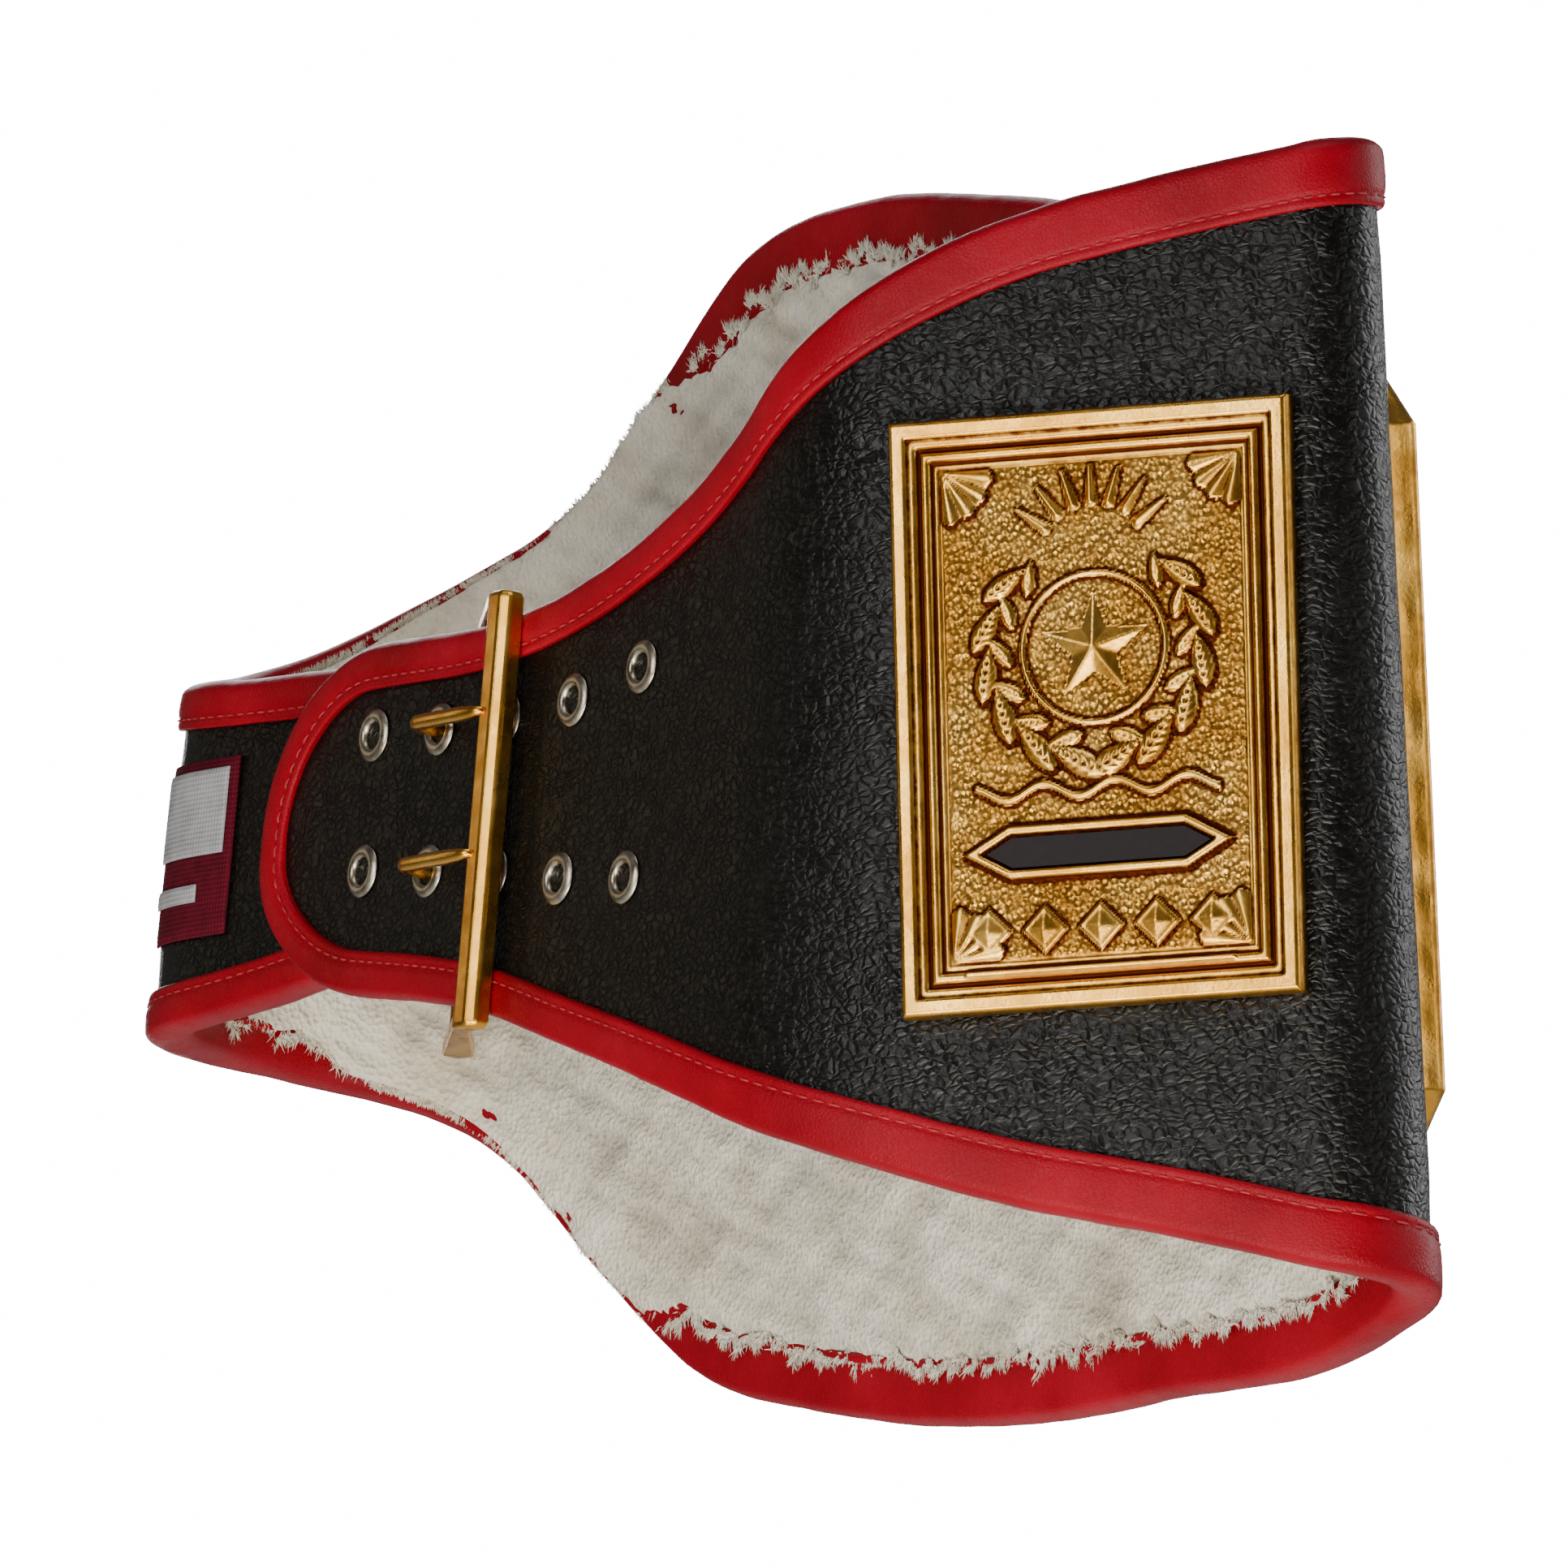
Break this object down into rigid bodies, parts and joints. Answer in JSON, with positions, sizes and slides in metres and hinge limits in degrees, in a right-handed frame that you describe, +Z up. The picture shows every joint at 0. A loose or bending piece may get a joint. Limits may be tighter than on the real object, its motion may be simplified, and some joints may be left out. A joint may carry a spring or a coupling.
{
  "type": "championship title belt",
  "caption": "Padded leather title belt closed into a worn loop, with red edge binding, fleece lining, cast gold plates, eyelets and a wide pronged buckle.",
  "frame": {"origin": "middle of the waist opening, at the middle height of the strap at the back", "axes": "+Z up when worn, -Y out of the front plate, +X from the fold beside the front towards the round end"},
  "size_m": [0.4591, 0.1476, 0.3037],
  "materials": {
    "leather": "black grained leather, semi-gloss",
    "red_leather": "crimson piped edge binding, semi-gloss",
    "fleece": "off-white fleece pile, matte",
    "gold": "gold-plated casting with dark recesses",
    "nickel": "aged nickel eyelets, satin",
    "enamel": "dark gloss enamel",
    "label_cloth": "maroon woven label",
    "label_panel": "pale grey woven panel"
  },
  "bodies": {
    "root": {"strap_leather": "leather", "fleece_lining": "fleece", "edge_binding": "red_leather", "main_plate": "gold", "main_plate_inlay": "enamel", "side_plate_tail": "gold", "side_plate_tail_inlay": "enamel", "side_plate_buckle": "gold", "side_plate_buckle_inlay": "enamel", "buckle_frame": "gold", "buckle_chape": "leather", "prong_upper": "gold", "prong_lower": "gold", "label_patch": "label_cloth", "label_panel": "label_panel", "label_bar": "label_panel", "eyelet_upper_1": "nickel", "eyelet_upper_2": "nickel", "eyelet_upper_3": "nickel", "eyelet_upper_4": "nickel", "eyelet_upper_5": "nickel", "eyelet_lower_1": "nickel", "eyelet_lower_2": "nickel", "eyelet_lower_3": "nickel", "eyelet_lower_4": "nickel", "eyelet_lower_5": "nickel"}
  },
  "joints": []
}
